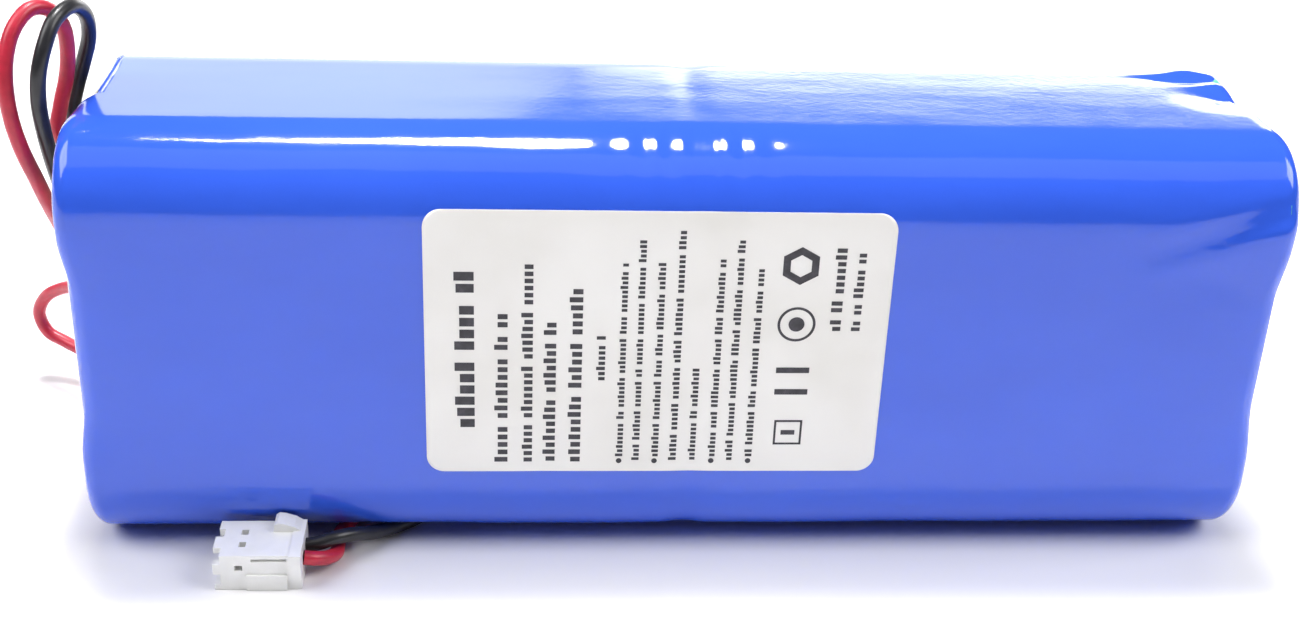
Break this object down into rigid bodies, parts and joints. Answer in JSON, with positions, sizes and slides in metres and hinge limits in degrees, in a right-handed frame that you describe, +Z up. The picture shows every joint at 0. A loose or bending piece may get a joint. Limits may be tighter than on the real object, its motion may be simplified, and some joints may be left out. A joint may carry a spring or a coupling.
{
  "type": "battery pack",
  "caption": "Shrink-sleeved pack of round cells with a rating label on its front face and two output leads that end in a small two-way plug.",
  "frame": {"origin": "centre of the sleeve's footprint on the resting plane, leads and plug left out", "axes": "+X along the pack, with the lead end at -X; -Y is the label face, towards the viewer; +Z up"},
  "size_m": [0.153, 0.0529, 0.0622],
  "materials": {
    "blue_sleeve": "gloss",
    "label": "satin",
    "liner_board": "matte",
    "barley_paper": "matte",
    "can_steel": "satin",
    "cell_jacket": "gloss",
    "gasket": "matte",
    "washer_paper": "matte",
    "hot_melt": "satin",
    "nickel": "bright",
    "foam": "matte",
    "board_green": "satin",
    "chip_black": "matte",
    "resistor": "matte",
    "solder": "bright",
    "wire_black": "satin",
    "wire_red": "satin",
    "wire_yellow": "satin",
    "plug_nylon": "satin",
    "contact_tin": "bright"
  },
  "bodies": {
    "root": {"shrink_sleeve": "blue_sleeve", "rating_label": "label", "front_liner": "liner_board", "back_liner": "liner_board", "left_end_insulator": "barley_paper", "right_end_insulator": "barley_paper", "middle_insulator": "barley_paper", "cell_1_can": "can_steel", "cell_2_can": "can_steel", "cell_3_can": "can_steel", "cell_4_can": "can_steel", "cell_5_can": "can_steel", "cell_6_can": "can_steel", "cell_7_can": "can_steel", "cell_8_can": "can_steel", "cell_9_can": "can_steel", "cell_1_jacket": "cell_jacket", "cell_2_jacket": "cell_jacket", "cell_3_jacket": "cell_jacket", "cell_4_jacket": "cell_jacket", "cell_5_jacket": "cell_jacket", "cell_6_jacket": "cell_jacket", "cell_7_jacket": "cell_jacket", "cell_8_jacket": "cell_jacket", "cell_9_jacket": "cell_jacket", "cell_1_cap": "can_steel", "cell_2_cap": "can_steel", "cell_3_cap": "can_steel", "cell_4_cap": "can_steel", "cell_5_cap": "can_steel", "cell_6_cap": "can_steel", "cell_7_cap": "can_steel", "cell_8_cap": "can_steel", "cell_9_cap": "can_steel", "cell_gaskets": "gasket", "cell_washers": "washer_paper", "glue_beads": "hot_melt", "negative_strip": "nickel", "first_series_strip": "nickel", "second_series_strip": "nickel", "second_series_tab": "nickel", "positive_strip": "nickel", "board_foam": "foam", "protection_board": "board_green", "board_transistors": "chip_black", "board_chips": "chip_black", "board_resistors": "resistor", "board_pads": "solder", "negative_wire": "wire_black", "positive_wire": "wire_red", "first_tap_wire": "wire_yellow", "second_tap_wire": "wire_yellow", "series_link_wire": "wire_yellow", "black_lead_inside": "wire_black", "red_lead_inside": "wire_red", "black_lead": "wire_black", "red_lead": "wire_red", "plug_housing": "plug_nylon", "plug_contacts": "contact_tin"}
  },
  "joints": []
}
